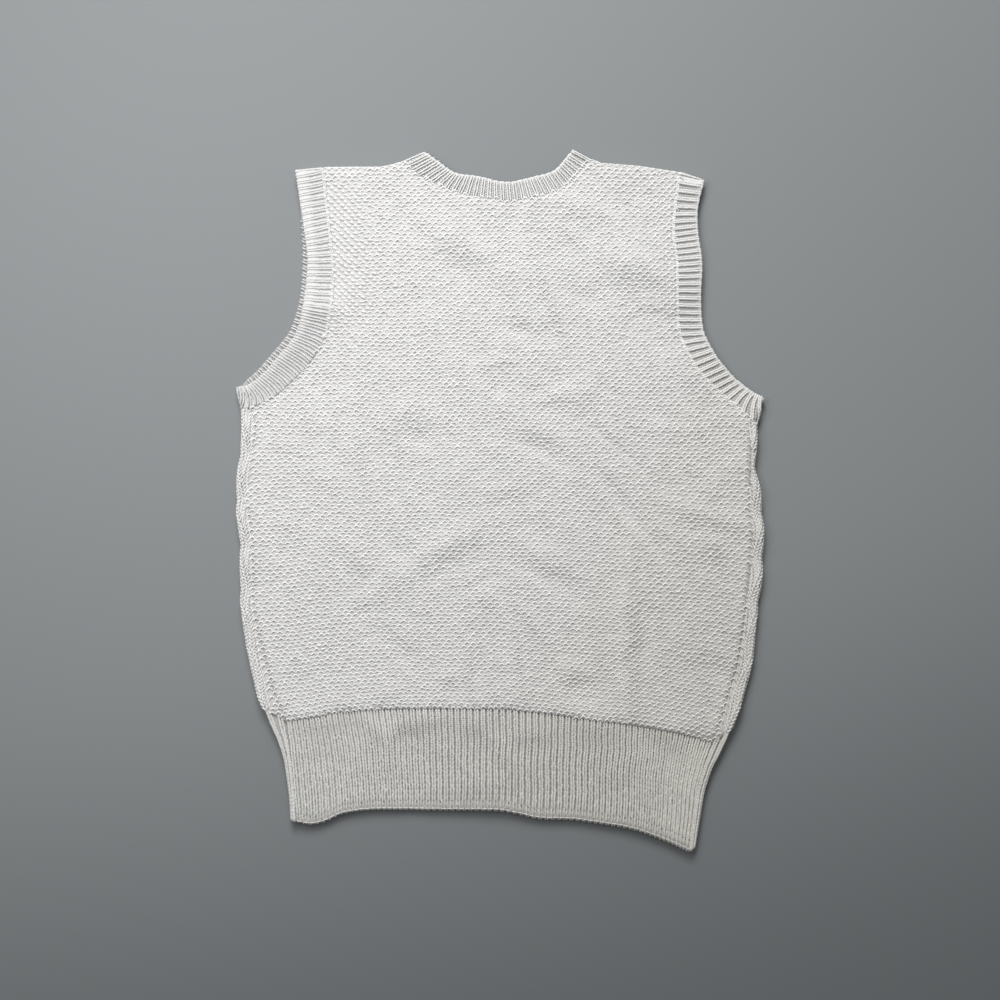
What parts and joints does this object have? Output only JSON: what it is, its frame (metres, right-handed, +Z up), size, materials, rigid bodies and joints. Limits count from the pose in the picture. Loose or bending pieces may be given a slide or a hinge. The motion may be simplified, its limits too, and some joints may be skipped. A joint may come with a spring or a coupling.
{
  "type": "knitted sweater vest",
  "caption": "Sleeveless knitted pullover laid flat on its front, with ribbed hem, neckband and armhole bands, a textured back and cabled side edges.",
  "frame": {"origin": "centre of the garment's outline on the surface it lies on", "axes": "+Y from the hem to the neck, +X to the right as seen from above on the garment's back, +Z up from the surface"},
  "size_m": [0.4813, 0.638, 0.0106],
  "materials": {
    "back_knit": "matte off-white wool and cotton yarn, textured purl stitch",
    "front_knit": "matte off-white wool and cotton yarn, cables along the side edges",
    "back_hem_knit": "matte off-white yarn, narrow rib",
    "front_hem_knit": "matte off-white yarn, narrow rib",
    "neck_knit": "matte off-white yarn, narrow rib",
    "left_armhole_knit": "matte off-white yarn, narrow rib",
    "right_armhole_knit": "matte off-white yarn, narrow rib"
  },
  "bodies": {
    "root": {"back_panel": "back_knit", "front_panel": "front_knit", "back_hem_rib": "back_hem_knit", "front_hem_rib": "front_hem_knit", "neck_band": "neck_knit", "armhole_band_left": "left_armhole_knit", "armhole_band_right": "right_armhole_knit"}
  },
  "joints": []
}
